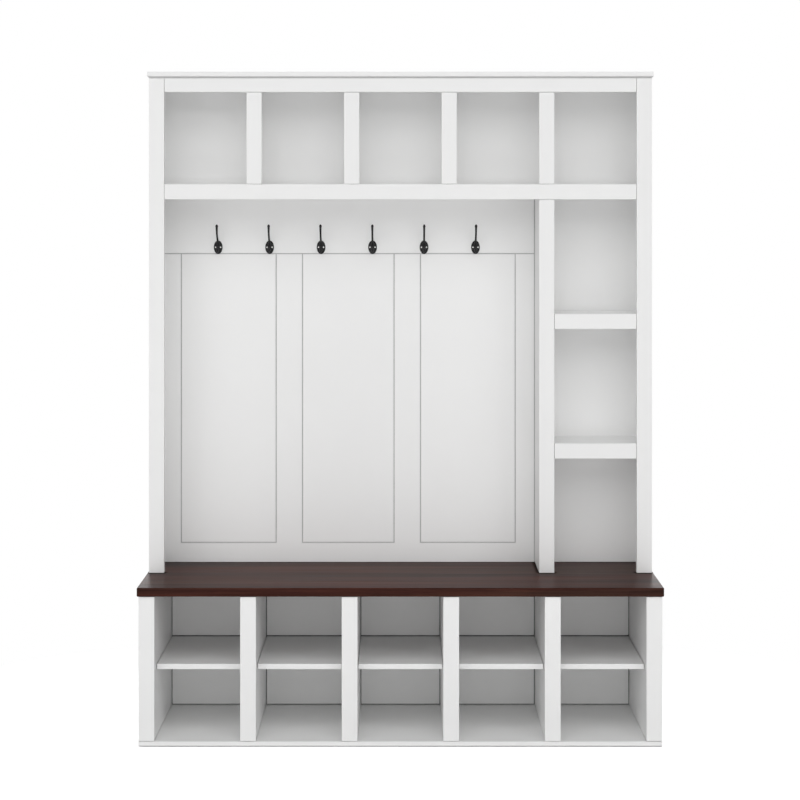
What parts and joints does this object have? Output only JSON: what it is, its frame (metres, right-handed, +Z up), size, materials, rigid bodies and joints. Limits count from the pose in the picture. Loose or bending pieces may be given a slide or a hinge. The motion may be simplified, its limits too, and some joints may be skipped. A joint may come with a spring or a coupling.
{
  "type": "hall tree with hooks",
  "caption": "Tall hall tree: open shoe bays under a dark bench top, a grooved back with double coat hooks, a side column of open shelves and cubbies along the top.",
  "frame": {"origin": "on the floor, under the middle of the bench top's outline, which is the middle of the whole object's outline", "axes": "+Z up, +X to the right seen from the front, -Y out of the front, +Y towards the wall"},
  "size_m": [1.505, 0.4, 1.944],
  "materials": {
    "white_board": "white satin lacquer on composite board",
    "walnut_top": "dark walnut satin with faint grain along the length",
    "black_hook": "black satin powder coat over cast metal",
    "steel_pin": "zinc plated",
    "beech_dowel": "plain beech"
  },
  "bodies": {
    "carcass": {"bottom_panel": "white_board", "base_side_left": "white_board", "base_side_right": "white_board", "base_divider_1": "white_board", "base_divider_2": "white_board", "base_divider_3": "white_board", "base_divider_4": "white_board", "base_back": "white_board", "bench_top": "walnut_top", "shelf_pin_1_front": "steel_pin", "shelf_pin_1_rear": "steel_pin", "shelf_pin_2_front": "steel_pin", "shelf_pin_2_rear": "steel_pin", "shelf_pin_3_front": "steel_pin", "shelf_pin_3_rear": "steel_pin", "shelf_pin_4_front": "steel_pin", "shelf_pin_4_rear": "steel_pin", "shelf_pin_5_front": "steel_pin", "shelf_pin_5_rear": "steel_pin", "shelf_pin_6_front": "steel_pin", "shelf_pin_6_rear": "steel_pin", "post_dowel_left": "beech_dowel", "post_dowel_right": "beech_dowel", "post_left": "white_board", "post_right": "white_board", "side_panel_left": "white_board", "side_panel_right": "white_board", "top_board": "white_board", "top_rail": "white_board", "cubby_rail": "white_board", "cubby_shelf": "white_board", "cubby_divider_1": "white_board", "cubby_stile_1": "white_board", "cubby_divider_2": "white_board", "cubby_stile_2": "white_board", "cubby_divider_3": "white_board", "cubby_stile_3": "white_board", "cubby_divider_4": "white_board", "cubby_stile_4": "white_board", "column_panel": "white_board", "column_stile": "white_board", "side_shelf_1": "white_board", "side_rail_1": "white_board", "side_shelf_2": "white_board", "side_rail_2": "white_board", "wainscot_board": "white_board", "hook_board": "white_board", "cubby_back": "white_board", "column_back": "white_board", "hook_1": "black_hook", "hook_2": "black_hook", "hook_3": "black_hook", "hook_4": "black_hook", "hook_5": "black_hook", "hook_6": "black_hook"},
    "shoe_shelf_1": {"shoe_shelf_1": "white_board"},
    "shoe_shelf_2": {"shoe_shelf_2": "white_board"},
    "shoe_shelf_3": {"shoe_shelf_3": "white_board"},
    "shoe_shelf_4": {"shoe_shelf_4": "white_board"},
    "shoe_shelf_5": {"shoe_shelf_5": "white_board"}
  },
  "joints": [
    {"name": "shoe_shelf_1_slide", "type": "slide", "parent": "carcass", "child": "shoe_shelf_1", "axis": [0, -1, 0], "range_m": [0, 0.39]},
    {"name": "shoe_shelf_2_slide", "type": "slide", "parent": "carcass", "child": "shoe_shelf_2", "axis": [0, -1, 0], "range_m": [0, 0.39]},
    {"name": "shoe_shelf_3_slide", "type": "slide", "parent": "carcass", "child": "shoe_shelf_3", "axis": [0, -1, 0], "range_m": [0, 0.39]},
    {"name": "shoe_shelf_4_slide", "type": "slide", "parent": "carcass", "child": "shoe_shelf_4", "axis": [0, -1, 0], "range_m": [0, 0.39]},
    {"name": "shoe_shelf_5_slide", "type": "slide", "parent": "carcass", "child": "shoe_shelf_5", "axis": [0, -1, 0], "range_m": [0, 0.39]}
  ]
}
